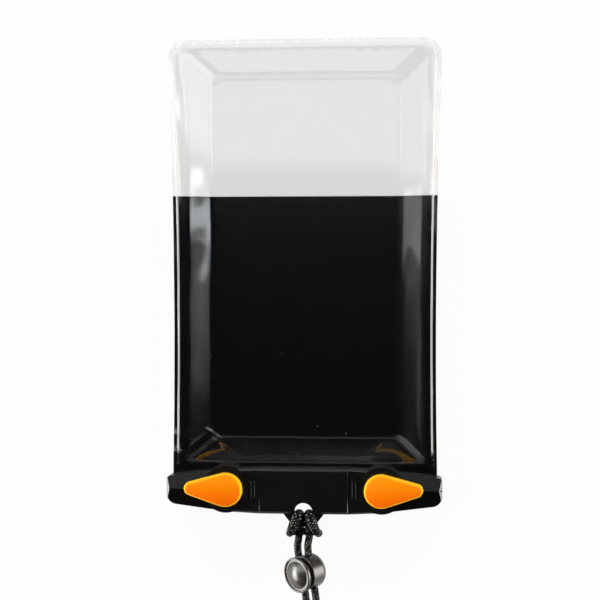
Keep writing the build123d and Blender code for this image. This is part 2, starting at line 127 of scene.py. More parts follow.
HITCH = [
    (0.0, -9.7, 1.6),
    (4.3, -9.7, 1.6),
    (6.2, -9.9, 2.9),
    (6.1, -9.7, 7.4),
    (5.5, -8.2, 10.6),
    (3.9, -4.9, 11.1),
    (2.15, -1.5, 11.0),
    (2.15, -1.5, 4.1),
    (2.1, -5.9, 4.1),
    (2.2, -9.4, 4.7),
]
BEFORE_LOCK = {-1: (-2.4, -109.2, 5.6), 1: (2.15, -109.0, 7.4)}
AFTER_LOCK = {
    -1: [(-1.2, -147.4, 4.6), (-6.6, -152.9, 2.2), (-12.2, -157.6, 1.6)],
    1: [(1.9, -147.3, 8.6), (-3.9, -151.8, 6.2), (-10.2, -156.2, 4.9)],
}


def cord_route(side):
    """Control points of one cord, from the middle of the hitch to the coil."""
    points = [(side * x, EYELET_Y + y, z) for x, y, z in HITCH]
    points += [BEFORE_LOCK[side], lock_point(side, STRAIGHT_BEFORE), lock_point(side, STRAIGHT_AFTER)]
    return points + AFTER_LOCK[side]


print("points up to the coil", [len(cord_route(side)) for side in (-1, 1)])

# %% [markdown]
# ## The put-away coil
# The rest of the lanyard is wound inwards, one cord above the other, as a cord is put away by hand.
# Both cords leave the inmost turn on opposite sides and rise into the knot. The wobble keeps the
# turns from being perfect circles.

# %% Coil and smooth cord lines
COIL_CENTRE = (6.0, -171.0)
COIL_OUTER = 21.0
COIL_INNER = 12.0
COIL_WOBBLE = 0.25
COIL_LEAD_IN = math.radians(24)
TURN_POINTS = 14
INTO_KNOT = ((10.2, 0.2), (8.0, 0.7), (5.8, 1.2), (3.8, 1.6))
KNOT_ENTRY_Z = 3.2
CURVE_STEPS = 12


def coil_points(last, level, end_angle):
    """Turns of the coil, wound inwards in one layer, then a short run into the knot."""
    cx, cy = COIL_CENTRE
    start = math.atan2(last[1] - cy, last[0] - cx) + COIL_LEAD_IN
    turns = math.ceil((COIL_OUTER - COIL_INNER) / CORD)
    sweep = turns * 2 * math.pi
    sweep += (end_angle - start - sweep) % (2 * math.pi)
    count = round(sweep / (2 * math.pi) * TURN_POINTS)
    points = []
    for i in range(count + 1):
        share = i / count
        angle = start + sweep * share
        radius = COIL_OUTER + (COIL_INNER - COIL_OUTER) * share
        x = cx + (radius + COIL_WOBBLE * math.sin(3 * angle + level)) * math.cos(angle)
        points.append((x, cy + radius * math.sin(angle), level))
    for step, (radius, rise) in enumerate(INTO_KNOT, 1):
        angle = end_angle + step * math.radians(38)
        height = level + (KNOT_ENTRY_Z - level) * rise / INTO_KNOT[-1][1]
        points.append((cx + radius * math.cos(angle), cy + radius * math.sin(angle), height))
    return points


def route_spline(name, points):
    """An open NURBS curve through the control points, with no thickness."""
    data = bpy.data.curves.new(name, "CURVE")
    data.dimensions = "3D"
    data.resolution_u = CURVE_STEPS
    spline = data.splines.new("NURBS")
    spline.points.add(len(points) - 1)
    for knot, point in zip(spline.points, points):
        knot.co = (*at(*point), 1.0)
    spline.order_u = 3
    spline.use_endpoint_u = True
    return bpy.data.objects.new(name, data)


def spline_path(curve_object):
    """The smooth line that the spline makes, as Blender works it out."""
    bpy.context.collection.objects.link(curve_object)
    bpy.context.view_layer.update()
    depsgraph = bpy.context.evaluated_depsgraph_get()
    mesh = bpy.data.meshes.new_from_object(curve_object.evaluated_get(depsgraph))
    line = [v.co.copy() for v in mesh.vertices]
    bpy.data.meshes.remove(mesh)
    bpy.data.objects.remove(curve_object)
    return line


cord_paths = {}
for side, level, end_angle in ((-1, 1.6, math.radians(150)), (1, 4.7, math.radians(-30))):
    route = cord_route(side)
    points = route + coil_points(route[-1], level, end_angle)
    cord_paths[side] = spline_path(route_spline("route", points))
    length = sum((b - a).length for a, b in zip(cord_paths[side], cord_paths[side][1:]))
    print("cord", side, "length", round(length, 3))

# %% [markdown]
# ## Braid
# A round braid is made of yarn bundles that go round the cord both ways and pass over and under
# each other. Here the tube's own surface gets that relief: each ring of points is pushed in and out
# by the pattern, which is cheaper than modelling every yarn and still shows at the cord's edge.

# %% Braided tube
BRAID_RING = 32
BRAID_STEP = 0.21
BRAID_BUNDLES = 6
BRAID_PITCH = 6.6
BRAID_RELIEF = 0.2
BRAID_RADIUS = 1.62
OVER_SHARE = 0.66
UNDER_SHARE = 0.34
HITCH_SWELL = 0.36
SWELL_PLACE = (0.0, EYELET_Y - 3.2, 8.0)
SWELL_REACH = 8.5
SWELL_FADE = 3.5


def even_path(line, step):
    """The same line with points at even distances."""
    result = [line[0].copy()]
    left = step
    for a, b in zip(line, line[1:]):
        run = (b - a).length
        travelled = 0.0
        while run - travelled >= left:
            travelled += left
            result.append(a.lerp(b, travelled / run))
            left = step
        left -= run - travelled
    return result


def braid_height(s, angle):
    """Relief of the braid, from 0 in the gaps to 1 on a bundle, at a distance and an angle."""
    turn = angle / (2 * math.pi)
    up = (turn + s / BRAID_PITCH) * BRAID_BUNDLES
    down = (turn - s / BRAID_PITCH) * BRAID_BUNDLES
    bundle_up = abs(math.sin(math.pi * up))
    bundle_down = abs(math.sin(math.pi * down))
    over = (math.floor(up) + math.floor(down)) % 2 == 0
    front, back = (bundle_up, bundle_down) if over else (bundle_down, bundle_up)
    return OVER_SHARE * front ** 0.7 + UNDER_SHARE * back ** 0.7


def hitch_swell(point):
    """How much wider the cord is where the hitch pinches it flat against the eyelet."""
    away = (point - at(*SWELL_PLACE)).length / MM
    return 1 + HITCH_SWELL * smooth_step((SWELL_REACH - away) / SWELL_FADE)


def braided_tube(name, line):
    """A closed tube along the line, with the braid's relief and a map of distance and angle."""
    points = even_path(line, BRAID_STEP * MM)
    mesh = bpy.data.meshes.new(name)
    bm = bmesh.new()
    uv_layer = bm.loops.layers.uv.new("braid")
    rings = []
    normal = (points[1] - points[0]).orthogonal().normalized()
    for i, point in enumerate(points):
        before = points[max(0, i - 1)]
        after = points[min(len(points) - 1, i + 1)]
        tangent = (after - before).normalized()
        normal = (normal - tangent * normal.dot(tangent)).normalized()
        side_way = tangent.cross(normal)
        ring = []
        for j in range(BRAID_RING):
            angle = 2 * math.pi * j / BRAID_RING
            height = braid_height(i * BRAID_STEP, angle)
            reach = (BRAID_RADIUS * hitch_swell(point) - BRAID_RELIEF * (1 - height)) * MM
            outwards = normal * math.cos(angle) + side_way * math.sin(angle)
            ring.append(bm.verts.new(point + outwards * reach))
        rings.append(ring)
    for i, (low, high) in enumerate(zip(rings, rings[1:])):
        for j in range(BRAID_RING):
            k = (j + 1) % BRAID_RING
            face = bm.faces.new((low[j], low[k], high[k], high[j]))
            face.smooth = True
            for loop, (u, v) in zip(face.loops, ((i, j), (i, j + 1), (i + 1, j + 1), (i + 1, j))):
                loop[uv_layer].uv = (u * BRAID_STEP / BRAID_PITCH, v / BRAID_RING)
    bm.faces.new(reversed(rings[0]))
    bm.faces.new(rings[-1])
    bm.to_mesh(mesh)
    bm.free()
    tube = bpy.data.objects.new(name, mesh)
    bpy.context.collection.objects.link(tube)
    return tube


cords = {}
for side, word in ((-1, "left"), (1, "right")):
    cords[side] = braided_tube("cord_" + word, cord_paths[side])
    print(cords[side].name, "faces", len(cords[side].data.polygons))

# %% [markdown]
# ## End knot
# The two ends are joined by an overhand knot, which lies in the middle of the coil. A knot is a
# closed-looking bundle of the same cord, so it is the same braided tube along a short looped line.

# %% End knot
KNOT_SIZE = 3.1
KNOT_STEPS = 72
KNOT_WIDTH = 2.6
KNOT_MIDDLE_Z = 4.5
KNOT_RISE = 2.6


def knot_line():
    """A trefoil-like line, squashed so that it lies on the table."""
    cx, cy = COIL_CENTRE
    line = []
    for i in range(KNOT_STEPS + 1):
        t = 2 * math.pi * i / KNOT_STEPS * 0.97
        x = math.sin(t) + 2 * math.sin(2 * t)
        y = math.cos(t) - 2 * math.cos(2 * t)
        z = -math.sin(3 * t)
        place = cx + x * KNOT_SIZE / KNOT_WIDTH, cy + y * KNOT_SIZE / KNOT_WIDTH
        line.append(at(*place, KNOT_MIDDLE_Z + z * KNOT_RISE))
    return line


knot = braided_tube("end_knot", knot_line())
print("knot faces", len(knot.data.polygons))

# %% [markdown]
# ## Shape of the pouch
# The two sheets part at the weld, slope away from each other and run flat over the middle, as they
# do round something flat. The outline comes first: its sides are slightly waisted, and its head has
# round corners. One function gives how far in from the edge a point is. Both sheets and the clear
# finish use it, so the weld is in the same place on all of them.

# %% Pouch outline
TOP_Y = 103.2
BAR_TOP_Y = -78.7
PIVOT_Y = -87.5
SLOPE_FOOT_Y = -77.2
SPLIT_Y = 36.8
TAIL_Y = -91.5
SEAL_Y = -83.3
HEAD_HALF = 58.2
WAIST_HALF = 55.9
FOOT_HALF = 56.2
CORNER = 7.8
WELD = 2.4
POCKET_HALF = 38.0
POCKET_FOOT_Y = -65.3
POCKET_HEAD_Y = 86.2


def side_half(y):
    """Half width of the pouch along its slightly waisted sides."""
    if y <= BAR_TOP_Y:
        return FOOT_HALF
    t = min(1.0, (y - BAR_TOP_Y) / (TOP_Y - CORNER - BAR_TOP_Y))
    foot, waist, head = (1 - t) * (1 - 2 * t), 4 * t * (1 - t), t * (2 * t - 1)
    return FOOT_HALF * foot + WAIST_HALF * waist + HEAD_HALF * head


def half_width(y):
    """Half width of the pouch, with its round corners at the top."""
    high = TOP_Y - CORNER
    width = side_half(y)
    if y > high:
        width -= CORNER - math.sqrt(max(0.0, CORNER ** 2 - (y - high) ** 2))
    return width


def inset(x, y):
    """Distance in from the pouch's edge."""
    side = side_half(y) - abs(x)
    head = TOP_Y - y
    if side < CORNER and head < CORNER:
        return CORNER - math.hypot(CORNER - side, CORNER - head)
    return min(side, head)


print("half width at the waist", round(half_width(10), 1))

# %% [markdown]
# ## Section of the pouch
# A stretched sheet leaves the weld slowly, runs straight up its slope and bends over the filled
# middle. The sides rise more gently than the head and the foot, and where two slopes meet, a soft
# mitre joins them.

# %% Pouch section
SEAM_Z = 5.25
RISE = 4.75
SIDE_LEAVE = 0.34
SIDE_BEND = 0.19
SIDE_BEND_SHIFT = 0.09
END_LEAVE = 0.14
END_BEND = 0.16
MITRE_SOFT = 0.30


def film_profile(t, leave, bend):
    """A stretched sheet's path up a slope: slowly off the weld, straight, then a bend."""
    t = min(1.0, max(0.0, t))
    steep = 1 / (1 - (leave + bend) / 2)
    if t < leave:
        return steep * t * t / (2 * leave)
    if t > 1 - bend:
        return 1 - steep * (1 - t) ** 2 / (2 * bend)
    return steep * (t - leave / 2)


def stand_off(x, y):
    """How far a sheet has risen off the seam, from 0 at the weld to 1 over the flat middle."""
    side = (side_half(y) - WELD - abs(x)) / (side_half(y) - WELD - POCKET_HALF)
    head = (TOP_Y - WELD - y) / (TOP_Y - WELD - POCKET_HEAD_Y)
    foot = (y - SLOPE_FOOT_Y) / (POCKET_FOOT_Y - SLOPE_FOOT_Y)
    ends = min(head, foot)
    near = max(0.0, MITRE_SOFT - abs(side - ends)) / MITRE_SOFT
    side_share = smooth_step(0.5 + ends - side)
    leave = END_LEAVE + (SIDE_LEAVE - END_LEAVE) * side_share
    side_bend = SIDE_BEND + SIDE_BEND_SHIFT * math.tanh(x / 20)
    bend = END_BEND + (side_bend - END_BEND) * side_share
    return film_profile(min(side, ends) - near * near * MITRE_SOFT / 4, leave, bend)


print("rise at the middle of the side slope", round(stand_off(46, 0), 2))

# %% [markdown]
# ## Folds and waves
# Soft sheet that is pulled over an edge never lies flat. It pinches into folds at the foot of the
# pocket, and it rolls a little where its edge is pulled. These are small heights, added to the
# section later.

# %% Folds and rolls
FOLDS = [
    # start, end, depth and the width of the sloping side, which lies below the line
    ((-41.5, -61.5), (-23.5, -75.8), 0.75, 2.0),
    ((34.5, -66.0), (21.0, -74.6), 0.50, 1.5),
    ((31.0, -67.5), (19.0, -77.0), 0.40, 1.4),
]
ROLLS = [
    # side, distance in from the edge, middle, half length, height and width of a soft roll
    (-1, 4.6, 72.0, 24.0, 0.30, 1.5),
    (-1, 1.2, -64.5, 2.0, 0.45, 0.8),
    (-1, 0.9, -72.0, 2.4, 0.50, 0.8),
    (1, 1.0, -69.0, 3.0, 0.30, 0.8),
]


def fold_height(x, y):
    """Pinched folds: a sharp line with a sloping side, wide in its middle, fading at both ends."""
    total = 0.0
    for (ax, ay), (bx, by), depth, width in FOLDS:
        run = math.hypot(bx - ax, by - ay)
        ux, uy = (bx - ax) / run, (by - ay) / run
        along = ((x - ax) * ux + (y - ay) * uy) / run
        off = (y - ay) * abs(ux) - (x - ax) * uy * (1 if ux > 0 else -1)
        if 0 < along < 1:
            lens = math.sin(math.pi * along) ** 0.8
            reach = width * lens + 0.05
            if off < 0:
                total += depth * lens * max(0.0, 1 + off / reach)
            else:
                total += depth * lens * max(0.0, 1 - off / 0.7)
    return total


def roll_height(x, y):
    """Soft rolls along the edge where the sheet is pulled."""
    total = 0.0
    for side, place, middle, half, height, width in ROLLS:
        if x * side > 0 and abs(y - middle) < half:
            swell = smooth_step(1 - abs(y - middle) / half)
            total += height * swell * math.exp(-((side_half(y) - abs(x) - place) / width) ** 2)
    return total


print("fold height", round(fold_height(-32.5, -69.2), 2))

# %% [markdown]
# ## Waves, the weld and the whole height
# The welded edge waves, the free slopes ripple, the clip's ridge dents both sheets, and the weld
# leaves a low bead. Blender's noise gives the same ripples in every run. With these, one function
# for each sheet gives its height at any point.

# %% Height of each sheet
SHEET = 0.46
LAYER_GAP = 0.25
LOWEST = 0.3
CALM_LOW = 38.0
CALM_HIGH = 56.0
SEAL_DEPTH = 0.9
BEAD_PLACE = 1.88
BEAD_WIDTH = 0.36
BEAD_HEIGHT = 0.25
HEAD_BEAD_LOSS = 0.16


def edge_wave(x, y):
    """Shared wave of both sheets along the welded edge, strongest near the clip."""
    near_edge = smooth_step(1 - inset(x, y) / 7.0)
    calm = smooth_step((y - BAR_TOP_Y - 1.0) / 6.0)
    slow = 0.14 * (math.sin(y / 6.4 + x) + 0.6 * math.sin(y / 14.1 + 1.3))
    quick = 0.26 * math.exp(-((y + 69) / 9) ** 2) * math.sin(y / 1.35) * (1.0 if x < 0 else 0.4)
    return near_edge * calm * (slow + quick)


def slope_ripple(x, y, seed):
    """Slow ripples of one sheet where nothing backs it, weaker in the head part."""
    rise = stand_off(x, y)
    calm = 1 - 0.6 * smooth_step((y - CALM_LOW) / (CALM_HIGH - CALM_LOW))
    free = calm * (4 * rise * (1 - rise) + 0.03 * rise)
    slow = noise.noise(Vector((x * 0.05, y * 0.020, seed)))
    fine = noise.noise(Vector((x * 0.16, y * 0.055, seed + 7)))
    return free * (0.30 * slow + 0.10 * fine)


def seal_dip(y):
    """The dip that the clip's ridge presses into the sheets."""
    away = abs(y - SEAL_Y)
    return -SEAL_DEPTH * min(1.0, max(0.0, (1.1 - away) / 0.7))


def weld_bead(x, y):
    """The low bead along the weld, lower at the head."""
    if y < SLOPE_FOOT_Y:
        return 0.0
    height = BEAD_HEIGHT - HEAD_BEAD_LOSS * smooth_step((y - TOP_Y + 2 * CORNER) / CORNER)
    return height * math.exp(-((inset(x, y) - BEAD_PLACE) / BEAD_WIDTH) ** 2)


def front_height(x, y):
    """Middle of the front sheet."""
    z = SEAM_Z + LAYER_GAP + RISE * stand_off(x, y) + edge_wave(x, y) + seal_dip(y) + weld_bead(x, y)
    folds = (fold_height(x, y) + roll_height(x, y)) * smooth_step((y - BAR_TOP_Y) / 3)
    return z + slope_ripple(x, y, 3.1) + folds


def rear_height(x, y):
    """Middle of the rear sheet."""
    z = SEAM_Z - LAYER_GAP - RISE * stand_off(x, y) + edge_wave(x, y) + seal_dip(y) - weld_bead(x, y)
    return max(LOWEST, z - slope_ripple(x, y, 11.4))


print("heights over the middle", round(front_height(0, 0), 2), round(rear_height(0, 0), 2))

# %% [markdown]
# ## Sheets as thin closed shells
# A clear sheet looks right only if it has two faces, because light bends in at one and out at the
# other. The sheet is a grid whose columns keep their distance from the edge, with narrow columns
# where the weld is and short rows where it folds. The places of the columns and rows come first.

# %% Columns and rows
EDGE_STEPS = [0, 0.4, 0.8, 1.1, 1.35, 1.55, 1.72, 1.88, 2.04]
EDGE_STEPS += [2.21, 2.4, 2.65, 2.95, 3.4, 4.0, 4.8, 5.8]
MIDDLE_COLUMNS = 104
SHORT_ROW = 0.45
LONG_ROW = 1.0


def column_places(width):
    """Places across the sheet for a given half width."""
    edge = [width - step for step in EDGE_STEPS]
    inner = edge[-1]
    middle = [inner * (1 - 2 * i / MIDDLE_COLUMNS) for i in range(1, MIDDLE_COLUMNS)]
    return [-x for x in edge] + [-x for x in middle] + edge[::-1]


def row_places(low, high):
    """Heights of the rows: close together in the clip, at the folds and at the weld of the head."""
    rows = [low]
    while rows[-1] < high - 1e-6:
        y = rows[-1]
        near_ends = y > TOP_Y - CORNER - 1 or y < POCKET_FOOT_Y + 5
        rows.append(min(high, y + (SHORT_ROW if near_ends else LONG_ROW)))
    if high == TOP_Y:
        rows = [y for y in rows if y < TOP_Y - EDGE_STEPS[-1] - 0.1]
        rows += [TOP_Y - step for step in EDGE_STEPS[::-1]]
    return rows


print("columns", len(column_places(WAIST_HALF)), "rows", len(row_places(TAIL_Y, TOP_Y)))

# %% [markdown]
# ## Building the three sheets
# The grid is thickened: a second layer below, and a wall round the rim. Faces where the clip's bolts
# pass are left out. The map on each sheet holds the distance from the edge and the place along the
# pouch, which the clear finish uses to find the weld.

# %% Three sheets
BOLT_X = 32.9
SLOT_HALF = 3.3
SHARP_EDGE = math.radians(60)


def thin_sheet(name, low, high, height):
    """A closed thin sheet between two heights of the pouch."""
    mesh = bpy.data.meshes.new(name)
    bm = bmesh.new()
    uv_layer = bm.loops.layers.uv.new("edge")
    rows = row_places(low, high)
    grid = [column_places(half_width(min(y, TOP_Y - 0.02))) for y in rows]
    columns = len(grid[0]) - 1
    upper, lower = [
        [[bm.verts.new(at(x, y, height(x, y) + lift)) for x in line] for y, line in zip(rows, grid)]
        for lift in (SHEET / 2, -SHEET / 2)
    ]
    kept = set()
    for i in range(len(rows) - 1):
        for j in range(columns):
            x = (grid[i][j] + grid[i][j + 1]) / 2
            if rows[i] < PIVOT_Y + SLOT_HALF and abs(abs(x) - BOLT_X) < SLOT_HALF:
                continue
            kept.add((i, j))
            bm.faces.new((upper[i][j], upper[i][j + 1], upper[i + 1][j + 1], upper[i + 1][j]))
            bm.faces.new((lower[i][j], lower[i + 1][j], lower[i + 1][j + 1], lower[i][j + 1]))
    for i, j in sorted(kept):
        rim = (((i - 1, j), (i, j), (i, j + 1)), ((i, j + 1), (i, j + 1), (i + 1, j + 1)),
               ((i + 1, j), (i + 1, j + 1), (i + 1, j)), ((i, j - 1), (i + 1, j), (i, j)))
        for neighbour, (ai, aj), (bi, bj) in rim:
            if neighbour not in kept:
                bm.faces.new((lower[ai][aj], lower[bi][bj], upper[bi][bj], upper[ai][aj]))
    loose = [v for v in bm.verts if not v.link_faces]
    bmesh.ops.delete(bm, geom=loose, context="VERTS")
    bmesh.ops.recalc_face_normals(bm, faces=bm.faces)
    for face in bm.faces:
        face.smooth = True
        for loop in face.loops:
            x, y = loop.vert.co.x / MM, loop.vert.co.y / MM
            loop[uv_layer].uv = (inset(x, y), y)
    bm.to_mesh(mesh)
    bm.free()
    sheet = bpy.data.objects.new(name, mesh)
    bpy.context.collection.objects.link(sheet)
    mesh.set_sharp_from_angle(angle=SHARP_EDGE)
    return sheet


front_sheet = thin_sheet("clear_front", TAIL_Y, TOP_Y, front_height)
black_sheet = thin_sheet("black_rear", TAIL_Y, SPLIT_Y, rear_height)
window_sheet = thin_sheet("clear_rear", SPLIT_Y + 0.05, TOP_Y, rear_height)
print([(o.name, len(o.data.polygons)) for o in (front_sheet, black_sheet, window_sheet)])

# %% [markdown]
# ## Node helpers
# Every finish below is a small node tree. One helper starts a material, one adds a node, and one
# wires up a calculation.

# %% Node helpers


def new_material(name):
    """A material with an empty tree and its output."""
    material = bpy.data.materials.new(name)
    material.use_nodes = True
    tree = material.node_tree
    tree.nodes.clear()
    output = tree.nodes.new("ShaderNodeOutputMaterial")
    return material, tree, output


def add_node(tree, kind, **settings):
    """A node with attributes and plain input values set by name."""
    node = tree.nodes.new(kind)
    for key, value in settings.items():
        if hasattr(node, key):
            setattr(node, key, value)
        else:
            node.inputs[key.replace("_", " ")].default_value = value
    return node


def maths(tree, operation, first, second=None):
    """A calculation on one or two sockets or plain numbers. Returns its output."""
    node = tree.nodes.new("ShaderNodeMath")
    node.operation = operation
    for socket, value in zip(node.inputs, (first, second)):
        if isinstance(value, (int, float)):
            socket.default_value = value
        elif value is not None:
            tree.links.new(value, socket)
    return node.outputs[0]


print("helpers", new_material.__name__, add_node.__name__, maths.__name__)

# %% [markdown]
# ## Masks and node groups
# A mask is a number from 0 to 1 that says where an effect is. Two helpers make soft ones. An effect
# that several finishes share is a node group, built once with named inputs and placed in each
# finish with its own values.

# %% Mask and group helpers


def ramp_between(tree, value, low, high, start=0.0, end=1.0):
    """Goes smoothly from start to end while a value goes from low to high."""
    node = add_node(tree, "ShaderNodeMapRange", interpolation_type="SMOOTHSTEP",
                    From_Min=low, From_Max=high, To_Min=start, To_Max=end)
    tree.links.new(value, node.inputs["Value"])
    return node.outputs[0]


def band(tree, value, low, high, soft):
    """1 while a value lies between low and high, 0 outside, with soft ends."""
    rise = ramp_between(tree, value, low - soft, low + soft)
    fall = ramp_between(tree, value, high - soft, high + soft, 1.0, 0.0)
    return maths(tree, "MULTIPLY", rise, fall)


def group_with(name, inputs, outputs):
    """An empty shader node group with named sockets."""
    group = bpy.data.node_groups.new(name, "ShaderNodeTree")
    for label, kind, value in inputs:
        socket = group.interface.new_socket(name=label, in_out="INPUT", socket_type=kind)
        socket.default_value = value
    for label, kind in outputs:
        group.interface.new_socket(name=label, in_out="OUTPUT", socket_type=kind)
    return group, group.nodes.new("NodeGroupInput"), group.nodes.new("NodeGroupOutput")


def use_group(tree, group, **values):
    """Places a group in a material, with its own values."""
    node = tree.nodes.new("ShaderNodeGroup")
    node.node_tree = group
    for key, value in values.items():
        node.inputs[key.replace("_", " ")].default_value = value
    return node


print("helpers", ramp_between.__name__, band.__name__, group_with.__name__, use_group.__name__)

# %% [markdown]
# ## Moulded grain
# Moulded plastic is never quite even. A fine grain breaks up its shine and a slow cloudiness varies
# its gloss. The group gives a value for roughness and a normal, and each plastic sets its own
# amounts.

# %% Moulded grain group


def make_grain_group():
    group, given, result = group_with(
        "moulded_grain",
        [("Scale", "NodeSocketFloat", 2600.0), ("Depth", "NodeSocketFloat", 0.05),
         ("Low", "NodeSocketFloat", 0.3), ("High", "NodeSocketFloat", 0.45)],
        [("Roughness", "NodeSocketFloat"), ("Normal", "NodeSocketVector")],
    )
    link = group.links.new
    place = add_node(group, "ShaderNodeTexCoord")
    fine = add_node(group, "ShaderNodeTexNoise", Detail=3.0, Roughness=0.6)
    link(place.outputs["Object"], fine.inputs["Vector"])
    link(given.outputs["Scale"], fine.inputs["Scale"])
    slow = add_node(group, "ShaderNodeTexNoise", Scale=90.0, Detail=4.0)
    link(place.outputs["Object"], slow.inputs["Vector"])
    spread = add_node(group, "ShaderNodeMapRange")
    link(slow.outputs["Fac"], spread.inputs["Value"])
    link(given.outputs["Low"], spread.inputs["To Min"])
    link(given.outputs["High"], spread.inputs["To Max"])
    link(spread.outputs["Result"], result.inputs["Roughness"])
    bump = add_node(group, "ShaderNodeBump", Distance=0.0002)
    link(given.outputs["Depth"], bump.inputs["Strength"])
    link(fine.outputs["Fac"], bump.inputs["Height"])
    link(bump.outputs["Normal"], result.inputs["Normal"])
    return group


grain_group = make_grain_group()
print("group", grain_group.name)

# %% [markdown]
# ## Drawn streaks and dust
# Sheet that is drawn in a mill carries faint streaks along its length, and a pouch in use carries a
# few specks of dust. The group gives a value for the specks and a normal that wavers across the
# streaks.

# %% Streak and dust group


def make_streak_group():
    group, given, result = group_with(
        "drawn_streaks",
        [("Depth", "NodeSocketFloat", 0.2), ("Dust", "NodeSocketFloat", 0.93)],
        [("Specks", "NodeSocketFloat"), ("Normal", "NodeSocketVector")],
    )
    link = group.links.new
    place = add_node(group, "ShaderNodeTexCoord")
    stretch = add_node(group, "ShaderNodeMapping")
    stretch.inputs["Scale"].default_value = (900.0, 22.0, 22.0)
    link(place.outputs["Object"], stretch.inputs["Vector"])
    streaks = add_node(group, "ShaderNodeTexNoise", Scale=1.0, Detail=3.0)
    link(stretch.outputs[0], streaks.inputs["Vector"])
    bump = add_node(group, "ShaderNodeBump", Distance=0.0003)
    link(given.outputs["Depth"], bump.inputs["Strength"])
    link(streaks.outputs["Fac"], bump.inputs["Height"])
    link(bump.outputs["Normal"], result.inputs["Normal"])
    cells = add_node(group, "ShaderNodeTexVoronoi", Scale=330.0)
    link(place.outputs["Object"], cells.inputs["Vector"])
    near = ramp_between(group, cells.outputs["Distance"], 0.05, 0.10, 1.0, 0.0)
    chance = add_node(group, "ShaderNodeSeparateColor")
    link(cells.outputs["Color"], chance.inputs[0])
    chosen = maths(group, "GREATER_THAN", chance.outputs[0], 0.5)
    link(given.outputs["Dust"], chosen.node.inputs[1])
    link(maths(group, "MULTIPLY", near, chosen), result.inputs["Specks"])
    return group


streak_group = make_streak_group()
print("group", streak_group.name)

# %% [markdown]
# ## Clear sheet
# The sheet is soft clear plastic. It is glass to light that is seen, but plain glass would cast a
# dark shadow, so rays that look for a lamp pass straight through it instead. A narrow milky line
# along the weld is a painted highlight in place of the weld bead's shine, and the specks of dust are
# milky too. Away from the weld the sheet's grey tint is partly its own and partly painted shade.

# %% Clear sheet finish
# Strength of the painted highlight along the weld.
WELD_PAINTED_HIGHLIGHT = 0.32
DUST = 0.35
# The sheet's darker tint is partly its own grey and partly painted shade; the weld keeps the clearer
# tint.
SHEET_TINT_AND_PAINTED_SHADE = (0.89, 0.893, 0.89, 1)
WELD_TINT = (0.985, 0.986, 0.985, 1)
# Colour of the painted weld highlight and of the dust specks.
HIGHLIGHT_AND_DUST_COLOUR = (0.93, 0.925, 0.91, 1)
SHADOW_TINT = (0.95, 0.95, 0.95, 1)


def clear_finish():
    material, tree, output = new_material("clear_sheet_finish")
    link = tree.links.new
    shader = add_node(tree, "ShaderNodeBsdfPrincipled", IOR=1.46, Roughness=0.03)
    streaks = use_group(tree, streak_group, Depth=0.08, Dust=0.95)
    link(streaks.outputs["Normal"], shader.inputs["Normal"])
    place = add_node(tree, "ShaderNodeUVMap", uv_map="edge")
    split = add_node(tree, "ShaderNodeSeparateXYZ")
    link(place.outputs[0], split.inputs[0])
    # Painted highlight: a milky band along the weld, fading at the clip and weaker at the head.
    line = band(tree, split.outputs[0], 1.50, 2.26, 0.16)
    above_clip = ramp_between(tree, split.outputs[1], -73.5, -70.5)
    below_head = ramp_between(tree, split.outputs[1], TOP_Y - 12, TOP_Y - 5, 1.0, 0.35)
    line = maths(tree, "MULTIPLY", line, maths(tree, "MULTIPLY", above_clip, below_head))
    line = maths(tree, "MULTIPLY", line, WELD_PAINTED_HIGHLIGHT)
    specks = maths(tree, "MULTIPLY", streaks.outputs["Specks"], DUST)
    # The milky share holds the painted weld highlight and the real dust specks.
    highlight_and_dust = maths(tree, "MAXIMUM", line, specks)
    link(maths(tree, "SUBTRACT", 1.0, highlight_and_dust), shader.inputs["Transmission Weight"])
    # Painted shade: the tint darkens from the weld inwards.
    tint = add_node(tree, "ShaderNodeMix", data_type="RGBA")
    tint.inputs[6].default_value = WELD_TINT
    tint.inputs[7].default_value = SHEET_TINT_AND_PAINTED_SHADE
    link(ramp_between(tree, split.outputs[0], 1.8, 4.2), tint.inputs[0])
    colour = add_node(tree, "ShaderNodeMix", data_type="RGBA")
    link(tint.outputs[2], colour.inputs[6])
    colour.inputs[7].default_value = HIGHLIGHT_AND_DUST_COLOUR
    link(highlight_and_dust, colour.inputs[0])
    link(colour.outputs[2], shader.inputs["Base Color"])
    through = add_node(tree, "ShaderNodeBsdfTransparent")
    through.inputs["Color"].default_value = SHADOW_TINT
    path = add_node(tree, "ShaderNodeLightPath")
    unseen = maths(tree, "MAXIMUM", path.outputs["Is Shadow Ray"], path.outputs["Is Diffuse Ray"])
    mix = add_node(tree, "ShaderNodeMixShader")
    link(unseen, mix.inputs[0])
    link(shader.outputs[0], mix.inputs[1])
    link(through.outputs[0], mix.inputs[2])
    link(mix.outputs[0], output.inputs["Surface"])
    return material


clear_sheet_finish = clear_finish()
print("finish", clear_sheet_finish.name)

# %% [markdown]
# ## Plastics
# The black sheet, the clip, the bolts and the lock are all dark plastic with different gloss, and
# the spring is steel. One function makes them all.

# %% Plastic finishes


def plastic_finish(name, colour, low, high, depth=0.05, metallic=0.0, specular=0.5):
    material, tree, output = new_material(name)
    link = tree.links.new
    shader = add_node(tree, "ShaderNodeBsdfPrincipled", Metallic=metallic)
    shader.inputs["Specular IOR Level"].default_value = specular
    shader.inputs["Base Color"].default_value = (*colour, 1)
    grain = use_group(tree, grain_group, Depth=depth, Low=low, High=high)
    link(grain.outputs["Roughness"], shader.inputs["Roughness"])
    link(grain.outputs["Normal"], shader.inputs["Normal"])
    link(shader.outputs[0], output.inputs["Surface"])
    return material


